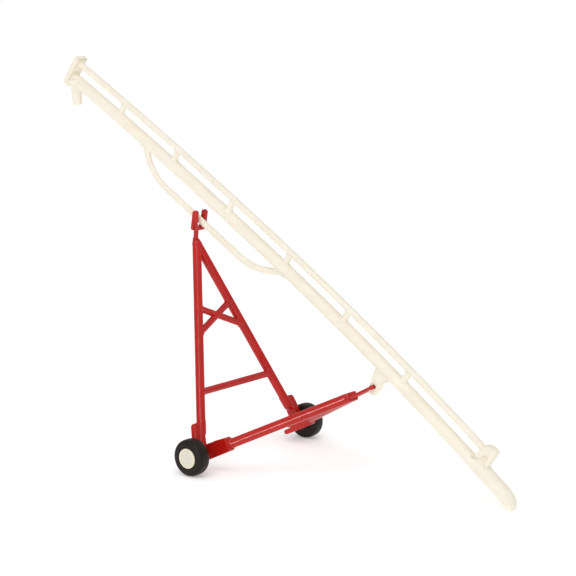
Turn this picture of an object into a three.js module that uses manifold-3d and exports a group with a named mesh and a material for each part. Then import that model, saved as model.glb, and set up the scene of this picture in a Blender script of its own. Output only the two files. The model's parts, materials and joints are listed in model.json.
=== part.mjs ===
// Scale model of a portable grain auger: an ivory tube with a rod over it and a rail under it,
// carried by a red upper frame and a red lower frame on two wheels.
// Millimetres. +X points to the intake end, +Z up, Y across, and Y = 0 is the plane of symmetry.
// Built with the origin on the ground under the wheels' axle, then moved to the middle of the base.
import * as THREE from 'three';
import { mergeVertices } from 'three/addons/utils/BufferGeometryUtils.js';
import Module from 'manifold-3d';

const wasm = await Module();
wasm.setup();

// ---------- driving dimensions ----------
const GAP = 0.3;                   // clearance kept between pieces that touch
const BASE_MIDDLE = 11.06;         // X of the middle of the whole length, from the axle
const rad = THREE.MathUtils.degToRad;

const WHEEL_R = 7;                 // outer radius of a tyre, and the axle's height
const TYRE_WIDTH = 5.8;
const TYRE_EDGE_R = 1.5;           // rounding of the tyre's shoulders
const TYRE_BACK = 1.2;             // thickness of the tyre's closed inner side
const WHEEL_Y = 35.15;             // centre of a tyre, across
const HUB_R = 3.9;
const HUB_PROUD = 0.1;             // how far the hub's rim stands out of the tyre
const HUB_DISH = 0.25;             // how far its face is sunk inside the rim
const HUB_RIM = 0.8;               // width of the rim
const BORE_R = 0.95;               // bore for the axle stub, blind in the hub
const BORE_END = 1.6;              // its end, outwards from the wheel's middle
const STUB_R = 0.75;

const TUBE_CHORD = 250.6;          // straight distance between the tube's ends
const TUBE_SLOPE = rad(33.9);      // of that chord
const TUBE_BOW_AT = 150;           // where the bow's control point is, along the chord
const TUBE_BOW = 9.3;              // its height over the chord
const TUBE_R = 2.4;
const TUBE_TOP = [-92.3, 142.7];   // X and Z of the tube's upper end
const FOOT_R = 2.9;
const FOOT_LENGTH = 21;
const ROD_R = 1.3;
const ROD_OFFSET = 6.9;            // rod's axis over the tube's axis
const POST_R = 1.3;
const POST_COUNT = 6;
const POST_FIRST = 28.6;           // along the chord
const POST_PITCH = 32.8;

const PLATE_BACK = -2.8;           // head plate, along the chord
const PLATE_THICK = 2.1;
const PLATE_WIDTH = 6.2;
const PLATE_LOW = -4.3;
const PLATE_HIGH = 9.55;
const SPOUT_R = 2.05;
const SPOUT_BORE_R = 0.8;
const SPOUT_X = -91;
const SPOUT_DROP = 9.95;           // from the tube's axis to the spout's mouth
const BOX_FROM = 231.0;
const BOX_TO = 237.2;
const BOX_HIGH = 11.65;
const BOX_WIDTH = 3.3;

const RAIL_DEEP = 2.6;             // section of the rail, square to the tube
const RAIL_WIDE = 1.9;             // and across
const RAIL_OFFSET = 9.9;           // under the tube's axis
const RAIL_FROM = 44.5;            // where the rail's centre line leaves the tube's axis
const RAIL_TO = 130.5;
const LUG_THICK = 2.6;

const PIVOT = [58.6, 36.1];        // X and Z of the pin between lower frame and tube
const PIN_R = 0.55;
const PIN_HOLE_R = 0.75;

const LEG_R = 1.75;
const LEG_FOOT_Y = 29.5;            // legs' centre lines at the axle's height
const APEX = [-27.2, 81.0];        // X and Z where the legs' centre lines meet
const FOOT_TOP = 11.7;             // foot plate, up the leg from the axle
const FOOT_LOW = -2.6;
const FOOT_THICK = 2.2;
const FOOT_REACH = 4.95;           // outwards from the leg's centre line
const CROSSBAR_AT = 0.283;         // share of the leg's length
const CROSSBAR_R = 1.35;
const BRACE_LOW_AT = 0.557;
const BRACE_HIGH_AT = 0.682;
const BRACE_R = 1.3;
const APEX_DEPTH = 5.5;            // solid part under the point where the legs meet
const NECK_R = 0.95;
const FORK_TILT = rad(9);          // the fork's ears lean towards the intake end
const FORK_AT = [-26.35, 86.35];   // X and Z of the middle of the fork's underside
const FORK_BASE = 0.9;             // thickness under the slot
const EAR_HEIGHT = 7.9;
const EAR_WIDTH = 2.4;
const EAR_THICK = 1.7;
const EAR_Y = 2.65;

const CLIP_Y = 25;                 // centre of a hook of the lower frame
const CLIP_THICK = 3.3;
const CLIP_LENGTH = 11.2;          // from the axle forwards
const CLIP_BACK = 3.4;             // finger's reach behind the axle
const CLIP_LOW = -2.95;            // outline of the hook, from the axle's centre
const CLIP_HIGH = 3.05;            // its top falls from here at the back
const CLIP_FRONT = 2.35;           // to here at the front
const CLIP_STEP = 0.15;            // with a small step up half-way
const SLOT_R = 0.95;
const HOOK_SWING = 5.7;            // radius kept free around the axle beside each leg
const BAR_R = 1.85;
const BAR_DROP = 0.4;              // the bars start this far below the line to the pivot
const PRONG_Y = 2.25;
const PRONG_THICK = 1.2;
const PRONG_DEEP = 1.2;
const PRONG_ROOT = -0.45;          // middle of a prong's root, below the line to the pivot
const PRONG_END_R = 0.85;
const PRONG_SHORT = 0.4;           // its round end is centred this far before the pivot
const JUNCTION_FROM = 51.6;        // along the lower frame, from the axle
const JUNCTION_TO = 54.4;
const JUNCTION_WIDTH = 6.2;
const JUNCTION_HIGH = 1.6;

// ---------- angles worked out from the dimensions ----------
const AXLE_Z = WHEEL_R;
const frameReach = Math.hypot(PIVOT[0], PIVOT[1] - AXLE_Z);
const frameAngle = Math.atan2(PIVOT[1] - AXLE_Z, PIVOT[0]);
const legLean = Math.atan2(-APEX[0], APEX[1] - AXLE_Z);
const legRise = Math.hypot(APEX[0], APEX[1] - AXLE_Z);
const legLength = Math.hypot(legRise, LEG_FOOT_Y);
const legTilt = Math.atan2(LEG_FOOT_Y, legRise);

// ---------- materials ----------
function material(color, roughness) {
  return new THREE.MeshStandardMaterial({ color, roughness, metalness: 0 });
}
const ivory = () => material(0xf1e8d2, 0.45);
const red = () => material(0xa8170f, 0.35);
const black = () => material(0x17120f, 0.6);

// ---------- solids ----------
function toSolid(geometry) {
  const bare = geometry.clone();
  bare.deleteAttribute('normal');
  bare.deleteAttribute('uv');
  const merged = mergeVertices(bare, 1e-4);
  return new wasm.Manifold(new wasm.Mesh({
    numProp: 3,
    vertProperties: Float32Array.from(merged.attributes.position.array),
    triVerts: Uint32Array.from(merged.index.array),
  }));
}

function toGeometry(solid) {
  const mesh = solid.getMesh();
  const geometry = new THREE.BufferGeometry();
  geometry.setAttribute('position', new THREE.BufferAttribute(mesh.vertProperties, 3));
  geometry.setIndex(new THREE.BufferAttribute(mesh.triVerts, 1));
  geometry.computeVertexNormals();
  return geometry;
}

const cut = (geometry, ...tools) => toGeometry(
  tools.reduce((solid, tool) => solid.subtract(toSolid(tool)), toSolid(geometry)));
const join = (geometry, ...others) => toGeometry(
  others.reduce((solid, other) => solid.add(toSolid(other)), toSolid(geometry)));

// A round bar between two points, with any end radii.
function bar(from, to, radius, endRadius = radius, sides = 16) {
  const a = new THREE.Vector3(...from);
  const b = new THREE.Vector3(...to);
  const axis = b.clone().sub(a);
  const geometry = new THREE.CylinderGeometry(endRadius, radius, axis.length(), sides);
  const turn = new THREE.Quaternion().setFromUnitVectors(
    new THREE.Vector3(0, 1, 0), axis.clone().normalize());
  geometry.applyQuaternion(turn);
  return geometry.translate(...a.add(b).multiplyScalar(0.5).toArray());
}

// A flat outline in X and Z, given a thickness across Y and centred on y.
function slab(shape, thickness, y = 0, curveSegments = 12) {
  const geometry = new THREE.ExtrudeGeometry(
    shape, { depth: thickness, bevelEnabled: false, curveSegments });
  return geometry.rotateX(Math.PI / 2).translate(0, y + thickness / 2, 0);
}

// An oval section swept along a curve that lies in the X-Z plane.
function sweep(curve, across, deep, sides, steps) {
  const oval = new THREE.Shape().absellipse(0, 0, across / 2, deep / 2, 0, 2 * Math.PI);
  return new THREE.ExtrudeGeometry(
    oval, { steps, extrudePath: curve, curveSegments: sides / 2, bevelEnabled: false });
}

// A profile of [radius, height] points turned about Z.
function turned(profile, sides = 40) {
  const points = profile.map(([r, h]) => new THREE.Vector2(r, h));
  return new THREE.LatheGeometry(points, sides).rotateX(Math.PI / 2);
}

function arc(cx, cy, radius, from, to, count) {
  return Array.from({ length: count + 1 }, (_, i) => {
    const a = from + (to - from) * i / count;
    return [cx + radius * Math.cos(a), cy + radius * Math.sin(a)];
  });
}

const object = new THREE.Group();
object.position.x = -BASE_MIDDLE;

function add(group, name, geometry, look) {
  const mesh = new THREE.Mesh(geometry, look);
  mesh.name = name;
  group.add(mesh);
  return mesh;
}

// ---------- ivory auger: X along the chord from the upper end, Z square to it ----------
const auger = new THREE.Group();
auger.position.set(TUBE_TOP[0], 0, TUBE_TOP[1]);
auger.rotation.y = TUBE_SLOPE;
object.add(auger);

// The tube's axis is one quadratic Bezier curve; a share of it is found from its place on the chord.
function axisShare(x) {
  const a = TUBE_CHORD - 2 * TUBE_BOW_AT;
  return (-TUBE_BOW_AT + Math.sqrt(TUBE_BOW_AT ** 2 + a * x)) / a;
}
function axisPoint(x, offset = 0) {
  const t = axisShare(x);
  const z = 2 * t * (1 - t) * TUBE_BOW;
  const slope = (1 - 2 * t) * TUBE_BOW / ((1 - 2 * t) * TUBE_BOW_AT + t * TUBE_CHORD);
  const n = new THREE.Vector3(-slope, 0, 1).normalize();
  return new THREE.Vector3(x, 0, z).addScaledVector(n, offset);
}
class OffsetAxis extends THREE.Curve {
  constructor(from, to, offset = 0) {
    super();
    Object.assign(this, { from, to, offset });
  }
  getPoint(t, target = new THREE.Vector3()) {
    return target.copy(axisPoint(this.from + (this.to - this.from) * t, this.offset));
  }
}

const plateFront = PLATE_BACK + PLATE_THICK;
const footFrom = TUBE_CHORD - FOOT_LENGTH;
const around = (radius, from = -6, to = TUBE_CHORD + 6) => sweep(
  new OffsetAxis(from, to), 2 * radius, 2 * radius, 20, 16);
const tubeRoom = around(TUBE_R + GAP);

const plateRoom = new THREE.BoxGeometry(20, 20, 40).translate(plateFront + GAP - 10, 0, 0);

add(auger, 'auger_tube', cut(sweep(
  new OffsetAxis(-3, footFrom - GAP), 2 * TUBE_R, 2 * TUBE_R, 20, 16), plateRoom), ivory());

const end = axisPoint(footFrom);
const footAxis = axisPoint(TUBE_CHORD).sub(end).normalize();
const footTurn = new THREE.Quaternion().setFromUnitVectors(new THREE.Vector3(0, 0, 1), footAxis);
const footShape = [
  [0, 0], [TUBE_R, 0], [FOOT_R, 6], [FOOT_R, FOOT_LENGTH],
  ...arc(0, FOOT_LENGTH, FOOT_R, 0, Math.PI / 2, 6).slice(1),
];
const foot = add(auger, 'intake_foot', turned(footShape, 24), ivory());
foot.position.copy(end);
foot.quaternion.copy(footTurn);

const plateShape = new THREE.Shape();
const plateCorner = 1.6;
plateShape.moveTo(-PLATE_WIDTH / 2, PLATE_HIGH);
plateShape.lineTo(-PLATE_WIDTH / 2, PLATE_LOW + plateCorner);
plateShape.absarc(-PLATE_WIDTH / 2 + plateCorner, PLATE_LOW + plateCorner, plateCorner,
  Math.PI, 1.5 * Math.PI);
plateShape.absarc(PLATE_WIDTH / 2 - plateCorner, PLATE_LOW + plateCorner, plateCorner,
  1.5 * Math.PI, 2 * Math.PI);
plateShape.lineTo(PLATE_WIDTH / 2, PLATE_HIGH);
const plate = slab(plateShape, PLATE_THICK).rotateZ(Math.PI / 2);
add(auger, 'head_plate', plate.translate((PLATE_BACK + plateFront) / 2, 0, 0), ivory());

const rodRoom = sweep(new OffsetAxis(-6, TUBE_CHORD, ROD_OFFSET), 2 * (ROD_R + GAP), 2 * (ROD_R + GAP),
  16, 16);
const boxRoom = new THREE.BoxGeometry(20, 20, 30).translate(BOX_FROM - GAP + 10, 0, 5);
add(auger, 'drive_rod', cut(sweep(new OffsetAxis(-3, BOX_FROM + 4, ROD_OFFSET),
  2 * ROD_R, 2 * ROD_R, 16, 16), plateRoom, boxRoom), ivory());

for (let i = 0; i < POST_COUNT; i++) {
  const x = POST_FIRST + i * POST_PITCH;
  const post = bar(axisPoint(x).toArray(), axisPoint(x, ROD_OFFSET).toArray(), POST_R);
  add(auger, `rod_post_${i + 1}`, cut(post, tubeRoom, rodRoom), ivory());
}

// Lower drive box: slanted at the back, with a round hollow in each side.
const boxFoot = axisPoint(BOX_FROM).z;
const boxShape = new THREE.Shape();
boxShape.moveTo(BOX_FROM, boxFoot);
boxShape.lineTo(BOX_FROM, BOX_HIGH - 2.6);
boxShape.lineTo(BOX_FROM + 1.5, BOX_HIGH - 0.6);
boxShape.lineTo(BOX_FROM + 3.4, BOX_HIGH);
boxShape.lineTo(BOX_TO - 0.9, BOX_HIGH);
boxShape.absarc(BOX_TO - 0.9, BOX_HIGH - 0.9, 0.9, Math.PI / 2, 0, true);
boxShape.lineTo(BOX_TO, boxFoot);
const hollowAt = [BOX_FROM + 4.5, boxFoot + 4.9];
const hollow = y => bar([hollowAt[0], y - 0.8, hollowAt[1]], [hollowAt[0], y + 0.8, hollowAt[1]], 1.4);
add(auger, 'lower_drive_box', cut(slab(boxShape, BOX_WIDTH), around(FOOT_R + GAP, 225, 245),
  hollow(-BOX_WIDTH / 2), hollow(BOX_WIDTH / 2)), ivory());

// The rail leaves the tube, runs parallel to it, and goes back into it.
const railCorners = [
  axisPoint(RAIL_FROM), axisPoint(RAIL_FROM + 10.5, -RAIL_OFFSET),
  axisPoint(RAIL_TO - 14.5, -RAIL_OFFSET), axisPoint(RAIL_TO),
];
const bend = 8.5;
const railPath = new THREE.CurvePath();
let railFrom = railCorners[0];
for (const i of [1, 2]) {
  const corner = railCorners[i];
  const into = corner.clone().sub(railCorners[i - 1]).normalize();
  const out = railCorners[i + 1].clone().sub(corner).normalize();
  const start = corner.clone().addScaledVector(into, -bend);
  const stop = corner.clone().addScaledVector(out, bend);
  railPath.add(new THREE.LineCurve3(railFrom, start));
  railPath.add(new THREE.QuadraticBezierCurve3(start, corner, stop));
  railFrom = stop;
}
railPath.add(new THREE.LineCurve3(railFrom, railCorners[3]));
add(auger, 'fork_rail', cut(sweep(railPath, RAIL_WIDE, RAIL_DEEP, 12, 32), tubeRoom), ivory());

// Pivot lug, with the hole that the pin of the lower frame turns in.
const toAuger = new THREE.Vector3(PIVOT[0] - TUBE_TOP[0], 0, PIVOT[1] - TUBE_TOP[1])
  .applyAxisAngle(new THREE.Vector3(0, 1, 0), -TUBE_SLOPE);
const lugShape = new THREE.Shape();
lugShape.moveTo(toAuger.x - 4.4, 3.2);
lugShape.lineTo(toAuger.x - 3.1, toAuger.z + 2.4);
lugShape.lineTo(toAuger.x - 2.2, toAuger.z + 0.4);
lugShape.lineTo(toAuger.x - 1.3, toAuger.z - 3.3);
lugShape.lineTo(toAuger.x - 0.9, toAuger.z - 3.6);
lugShape.lineTo(toAuger.x + 1.5, toAuger.z - 3.3);
lugShape.lineTo(toAuger.x + 1.9, toAuger.z - 2.8);
lugShape.lineTo(toAuger.x + 2.5, toAuger.z + 2.4);
lugShape.lineTo(toAuger.x + 3.1, toAuger.z + 4.4);
lugShape.quadraticCurveTo(toAuger.x + 3.6, 1.6, toAuger.x + 6.4, 3.2);
const pinHole = bar([toAuger.x, -3, toAuger.z], [toAuger.x, 3, toAuger.z], PIN_HOLE_R);
add(auger, 'pivot_lug', cut(slab(lugShape, LUG_THICK), tubeRoom, pinHole), ivory());

// ---------- discharge spout: hangs plumb under the tube's upper end ----------
const spoutTop = TUBE_TOP[1] + (TUBE_TOP[0] - SPOUT_X) * Math.tan(TUBE_SLOPE);
const tubeRoomInWorld = tubeRoom.clone().rotateY(TUBE_SLOPE).translate(TUBE_TOP[0], 0, TUBE_TOP[1]);
const spoutMouth = spoutTop - SPOUT_DROP;
const lip = 0.7;
const spoutShape = [
  [0, 6], [SPOUT_BORE_R, 6], [SPOUT_BORE_R, 0.4], [SPOUT_R - lip, 0],
  ...arc(SPOUT_R - lip, lip, lip, -Math.PI / 2, 0, 3).slice(1), [SPOUT_R, SPOUT_DROP], [0, SPOUT_DROP],
];
const spout = turned(spoutShape, 20).translate(SPOUT_X, 0, spoutMouth);
add(object, 'discharge_spout', cut(spout, tubeRoomInWorld), ivory());

// ---------- red upper frame: Z up the frame from the axle, Y across ----------
const upper = new THREE.Group();
upper.position.set(0, 0, AXLE_Z);
upper.rotation.y = -legLean;
object.add(upper);

const legPoint = (share, side) => [0, side * LEG_FOOT_Y * (1 - share), legRise * share];
const legRoom = side => bar(legPoint(-0.05, side), legPoint(1, side), LEG_R + GAP, LEG_R + GAP, 24);

function apexShape(grow) {
  const half = z => (legRise - z) * Math.tan(legTilt) + LEG_R / Math.cos(legTilt) + grow;
  const low = legRise - APEX_DEPTH - grow;
  const shoulder = legRise + 0.6 + grow;
  const shape = new THREE.Shape();
  shape.moveTo(-half(low), low);
  shape.lineTo(half(low), low);
  shape.lineTo(half(shoulder) + 0.3, shoulder);
  shape.lineTo(NECK_R + grow, shoulder + 1.5);
  shape.lineTo(-NECK_R - grow, shoulder + 1.5);
  shape.lineTo(-half(shoulder) - 0.3, shoulder);
  return shape;
}
// Turned so that the outline's X lies across the frame.
const apexBlock = grow => slab(apexShape(grow), 2 * LEG_R + 2 * grow).rotateZ(Math.PI / 2);
const apexRoom = apexBlock(GAP);
add(upper, 'frame_apex', apexBlock(0), red());

for (const [name, side] of [['right', -1], ['left', 1]]) {
  const leg = bar(legPoint(-0.01, side), legPoint(1, side), LEG_R);
  const outer = side * (WHEEL_Y - TYRE_WIDTH / 2 - 0.5);
  const stub = bar([0, side * (CLIP_Y - CLIP_THICK / 2 - 0.4), 0],
    [0, side * (WHEEL_Y + 1), 0], STUB_R, STUB_R, 20);
  const stubRoom = bar([0, side * 20, 0], [0, side * 40, 0], STUB_R + GAP, STUB_R + GAP, 20);
  // A flat is cut in the leg's inner side, where the hook of the lower frame turns.
  const hookRoom = bar([0, side * 18, 0], [0, side * (CLIP_Y + CLIP_THICK / 2 + GAP), 0], HOOK_SWING,
    HOOK_SWING, 32);
  add(upper, `${name}_leg`, cut(leg, apexRoom, stubRoom, hookRoom), red());
  // The foot plate lies outside the leg and carries the axle stub.
  const centre = z => side * LEG_FOOT_Y * (1 - z / legRise);
  const outline = new THREE.Shape();
  outline.moveTo(centre(FOOT_TOP), FOOT_TOP);
  outline.lineTo(centre(FOOT_TOP) + side * (FOOT_REACH - 0.8), FOOT_TOP);
  outline.lineTo(centre(FOOT_TOP - 1) + side * FOOT_REACH, FOOT_TOP - 1);
  outline.lineTo(outer, 6);
  outline.lineTo(outer, FOOT_LOW + 1);
  outline.lineTo(outer - side * 1.2, FOOT_LOW);
  outline.lineTo(side * LEG_FOOT_Y, FOOT_LOW);
  outline.lineTo(side * LEG_FOOT_Y, FOOT_LOW + 1);
  const plateSolid = slab(outline, FOOT_THICK).rotateZ(Math.PI / 2);
  add(upper, `${name}_foot`, cut(plateSolid, legRoom(side), stubRoom), red());
  add(upper, `${name}_axle_stub`, stub, red());
}

const bars = [legRoom(-1), legRoom(1)];
add(upper, 'crossbar', cut(bar(legPoint(CROSSBAR_AT, -1), legPoint(CROSSBAR_AT, 1), CROSSBAR_R), ...bars),
  red());
const longBrace = radius => bar(legPoint(BRACE_HIGH_AT, -1), legPoint(BRACE_LOW_AT, 1), radius);
add(upper, 'x_brace_long', cut(longBrace(BRACE_R), ...bars), red());
const other = bar(legPoint(BRACE_LOW_AT, -1), legPoint(BRACE_HIGH_AT, 1), BRACE_R);
const half = side => slab(new THREE.Shape([
  new THREE.Vector2(0, 0), new THREE.Vector2(40 * side, 0), new THREE.Vector2(40 * side, 90),
  new THREE.Vector2(0, 90),
]), 12).rotateZ(Math.PI / 2);
for (const [name, side] of [['right', -1], ['left', 1]]) {
  add(upper, `x_brace_half_${name}`, cut(other, longBrace(BRACE_R + GAP), half(-side), ...bars), red());
}

// Neck and fork stand plumb over the apex, leaning by the fork's own tilt.
const apexTop = new THREE.Vector3(0, 0, legRise + 2.1)
  .applyAxisAngle(new THREE.Vector3(0, 1, 0), -legLean).add(new THREE.Vector3(0, 0, AXLE_Z));
const neck = bar([apexTop.x, 0, apexTop.z + GAP + 0.6], [FORK_AT[0], 0, FORK_AT[1] - 2 * GAP], NECK_R);
add(object, 'fork_neck', neck, red());

const fork = new THREE.Group();
fork.position.set(FORK_AT[0], 0, FORK_AT[1]);
fork.rotation.y = FORK_TILT;
object.add(fork);
const slotHalf = EAR_Y - EAR_THICK / 2;
const base = new THREE.BoxGeometry(EAR_WIDTH, 2 * (slotHalf - GAP), FORK_BASE);
add(fork, 'fork_base', base.translate(0, 0, FORK_BASE / 2), red());
for (const [name, side] of [['right', -1], ['left', 1]]) {
  const r = EAR_WIDTH / 2;
  const ear = new THREE.Shape();
  ear.moveTo(-r, 0);
  ear.lineTo(r, 0);
  ear.lineTo(r, EAR_HEIGHT - r);
  ear.absarc(0, EAR_HEIGHT - r, r, 0, Math.PI);
  add(fork, `fork_ear_${name}`, slab(ear, EAR_THICK, side * EAR_Y, 6), red());
}

// ---------- red lower frame: X from the axle to the pivot ----------
const lower = new THREE.Group();
lower.position.set(0, 0, AXLE_Z);
lower.rotation.y = -frameAngle;
object.add(lower);

const junctionMid = (JUNCTION_FROM + JUNCTION_TO) / 2;
const clipSlope = (CLIP_FRONT - CLIP_HIGH) / CLIP_LENGTH;
for (const [name, side] of [['right', -1], ['left', 1]]) {
  // Hook: a block with a slot open at the back, and a longer finger under the axle stub.
  const hook = new THREE.Shape();
  hook.moveTo(-1.6, CLIP_HIGH - 0.5);
  hook.lineTo(-1.1, CLIP_HIGH);
  hook.lineTo(4.9, CLIP_HIGH + 4.9 * clipSlope);
  hook.lineTo(5.3, CLIP_HIGH + 5.3 * clipSlope + CLIP_STEP);
  hook.lineTo(CLIP_LENGTH - 0.6, CLIP_FRONT);
  hook.lineTo(CLIP_LENGTH, CLIP_FRONT - 0.5);
  hook.lineTo(CLIP_LENGTH, CLIP_LOW + 0.7);
  hook.lineTo(CLIP_LENGTH - 0.7, CLIP_LOW);
  hook.lineTo(-CLIP_BACK + 0.9, CLIP_LOW);
  hook.absarc(-CLIP_BACK + 0.9, CLIP_LOW + 1.05, 1.05, 1.5 * Math.PI, 0.5 * Math.PI, true);
  hook.lineTo(0, -SLOT_R);
  hook.absarc(0, 0, SLOT_R, -0.5 * Math.PI, 0.5 * Math.PI);
  hook.lineTo(-1.6, SLOT_R);
  add(lower, `${name}_clip`, slab(hook, CLIP_THICK, side * CLIP_Y, 8), red());
  const from = [CLIP_LENGTH + GAP, side * (CLIP_Y - 0.5), -BAR_DROP];
  const to = [JUNCTION_FROM - GAP, side * 2.7, -BAR_DROP / 2];
  const rest = new THREE.BoxGeometry(80, 20, 20).translate(40 + 5, side * (-10 + 0.15), 0);
  const low = bar(from, to, BAR_R);
  const clipFace = new THREE.BoxGeometry(8, 12, 12).translate(CLIP_LENGTH + GAP - 4, side * CLIP_Y, 0);
  const junctionFace = new THREE.BoxGeometry(8, 12, 12).translate(JUNCTION_FROM - GAP + 4, 0, 0);
  add(lower, `${name}_bar`, cut(low, clipFace, junctionFace, rest), red());
  const prong = new THREE.Shape();
  prong.moveTo(JUNCTION_TO + GAP, PRONG_ROOT - PRONG_DEEP / 2);
  prong.lineTo(frameReach - 3 * PRONG_SHORT, -PRONG_DEEP / 2);
  prong.absarc(frameReach - PRONG_SHORT, 0, PRONG_END_R, -Math.PI / 2, Math.PI / 2);
  prong.lineTo(frameReach - 3 * PRONG_SHORT, PRONG_DEEP / 2);
  prong.lineTo(JUNCTION_TO + GAP, PRONG_ROOT + PRONG_DEEP / 2);
  add(lower, `${name}_prong`, slab(prong, PRONG_THICK, side * PRONG_Y, 8), red());
}
const junction = new THREE.Shape();
const junctionLow = -BAR_R - 0.2;
junction.moveTo(JUNCTION_FROM, junctionLow);
junction.lineTo(JUNCTION_TO - 1, junctionLow);
junction.lineTo(JUNCTION_TO, junctionLow + 0.8);
junction.lineTo(JUNCTION_TO, JUNCTION_HIGH - 0.8);
junction.lineTo(JUNCTION_TO - 0.8, JUNCTION_HIGH);
junction.lineTo(JUNCTION_FROM, JUNCTION_HIGH);
add(lower, 'bar_junction', slab(junction, JUNCTION_WIDTH), red());
// The pin spans the prongs' inner sides, through the lug of the tube.
const pinHalf = PRONG_Y - PRONG_THICK / 2 - GAP;
add(lower, 'pivot_pin', bar([frameReach, -pinHalf, 0], [frameReach, pinHalf, 0], PIN_R), red());

// ---------- wheels: Z of the profile points outwards along the axle ----------
for (const [name, side] of [['right', -1], ['left', 1]]) {
  const wheel = new THREE.Group();
  wheel.position.set(0, side * WHEEL_Y, AXLE_Z);
  wheel.rotation.x = -side * Math.PI / 2;
  object.add(wheel);
  const w = TYRE_WIDTH / 2;
  const edge = TYRE_EDGE_R;
  const back = -w + TYRE_BACK;
  const tyre = [
    [BORE_R, -w], ...arc(WHEEL_R - edge, -w + edge, edge, -Math.PI / 2, 0, 4),
    ...arc(WHEEL_R - edge, w - edge, edge, 0, Math.PI / 2, 4), [HUB_R + GAP, w],
    [HUB_R + GAP, back], [BORE_R, back], [BORE_R, -w],
  ];
  add(wheel, `${name}_tyre`, turned(tyre, 36), black());
  const face = w + HUB_PROUD;
  const hub = [
    [BORE_R, back + GAP], [HUB_R, back + GAP], [HUB_R, w], [HUB_R - 0.3, face],
    [HUB_R - HUB_RIM, face], [HUB_R - HUB_RIM - 0.2, face - HUB_DISH], [0, face - HUB_DISH],
    [0, BORE_END], [BORE_R, BORE_END], [BORE_R, back + GAP],
  ];
  add(wheel, `${name}_hub`, turned(hub, 28), ivory());
}

export default object;
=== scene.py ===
"""A toy grain auger: ivory tube, rod and rail on a red folding frame with two small wheels.

Every surface is a moulded plastic skin worked out with numpy in millimetres and put into the mesh
in metres. Places along X are counted from the axle, as in the solid model.
"""
import json

import bpy
import numpy as np
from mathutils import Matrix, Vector


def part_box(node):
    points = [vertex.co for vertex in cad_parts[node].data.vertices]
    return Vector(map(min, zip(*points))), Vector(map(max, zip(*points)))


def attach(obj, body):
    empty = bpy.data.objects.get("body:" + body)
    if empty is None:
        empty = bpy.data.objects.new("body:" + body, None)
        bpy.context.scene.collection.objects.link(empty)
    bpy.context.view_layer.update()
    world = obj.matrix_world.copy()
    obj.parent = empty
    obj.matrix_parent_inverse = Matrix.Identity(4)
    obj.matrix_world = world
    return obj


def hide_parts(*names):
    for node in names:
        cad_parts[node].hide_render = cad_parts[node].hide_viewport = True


bl_info = {
    "name": "Toy grain auger",
    "version": (1, 0, 0),
    "blender": (4, 5, 0),
    "location": "View3D > Sidebar > Auger",
    "description": "Builds the moulded skins of a toy grain auger around its packed frame",
    "category": "Object",
}

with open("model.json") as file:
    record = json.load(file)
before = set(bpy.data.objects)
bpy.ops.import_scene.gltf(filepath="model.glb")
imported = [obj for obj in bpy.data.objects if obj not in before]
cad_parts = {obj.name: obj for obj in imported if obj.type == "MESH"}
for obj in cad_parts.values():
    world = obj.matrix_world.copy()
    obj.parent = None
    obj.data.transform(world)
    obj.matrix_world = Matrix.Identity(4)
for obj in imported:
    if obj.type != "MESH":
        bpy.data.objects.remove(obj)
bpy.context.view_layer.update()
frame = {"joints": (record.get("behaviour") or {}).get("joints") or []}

MM = 0.001
TAU = 2 * np.pi
SMOOTH_ANGLE = np.radians(38)

# ---------------------------------------------------------------- places taken from the frame
JOINT = {j["name"]: np.array(j["pos_m"]) / MM for j in frame["joints"]}
AXLE = JOINT["frame_lift"]
PIVOT = JOINT["tube_lift"]
WHEEL_Y = abs(JOINT["left_wheel_spin"][1])


def node_box(node):
    """Lowest and highest corner of a CAD node, in millimetres."""
    lo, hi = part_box(node)
    return np.array(lo) / MM, np.array(hi) / MM


# ---------------------------------------------------------------- driving dimensions, in mm
TUBE_CHORD = 250.6
TUBE_SLOPE = np.radians(33.9)
TUBE_BOW_AT = 150.0
TUBE_BOW = 9.3
TUBE_TOP = np.array([AXLE[0] - 92.3, 0, 142.7])
ROD_OFFSET = 6.9
POST_FIRST, POST_PITCH, POST_COUNT = 28.6, 32.8, 6
RAIL_OFFSET = 9.9
LEG_FOOT_Y = 29.5
APEX = np.array([AXLE[0] - 27.2, 0, 81.0])
FORK_AT = np.array([AXLE[0] - 26.35, 0, 86.35])
FORK_TILT = np.radians(9)
NECK_TOP = FORK_AT + [-1.0, 0, 0]
CLIP_Y = 25.0
FOOT_TOP = 11.7
FOOT_REACH = 4.95
FOOT_OUTER = WHEEL_Y - 3.4
BORE_END = 1.6
JUNCTION_TO = 54.4
CLIP_END = 11.2
PIN_BORE = 0.75
STUB_RADIUS = 0.75
STUB_BORE = 0.95
HUB_RADIUS = 3.8

# ---------------------------------------------------------------- camera and stage
CAMERA_AZIMUTH, CAMERA_ELEVATION = np.radians([37.97, 9.97]).tolist()
CAMERA_DISTANCE = 0.6376
CAMERA_VIEW = np.radians(19.26)
CAMERA_AIM = Vector((AXLE[0] * MM + 0.018, 0, 0.068))
SENSOR_WIDTH = 36
LIGHT_AIM = Vector((0, 0, 0.06))
SKY_LEVELS = (0.40, 0.74)
SKY_FULL_AT = 0.75
FLOOR_HALF = 40
FLOOR_DROP = 0.00002


# ---------------------------------------------------------------- placed frames
class Place:
    """A local frame: first axis along, second across, third up, turned about Y by an angle."""

    def __init__(self, origin, angle):
        self.origin = np.asarray(origin, float)
        c, s = np.cos(angle), np.sin(angle)
        self.axes = np.array([[c, 0, -s], [0, 1, 0], [s, 0, c]])

    def out(self, points):
        """Local points to the object's frame: origin plus the points times the axes."""
        return self.origin + np.asarray(points, float) @ self.axes

    def into(self, points):
        """Points of the object's frame to local ones."""
        return (np.asarray(points, float) - self.origin) @ self.axes.T


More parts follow.
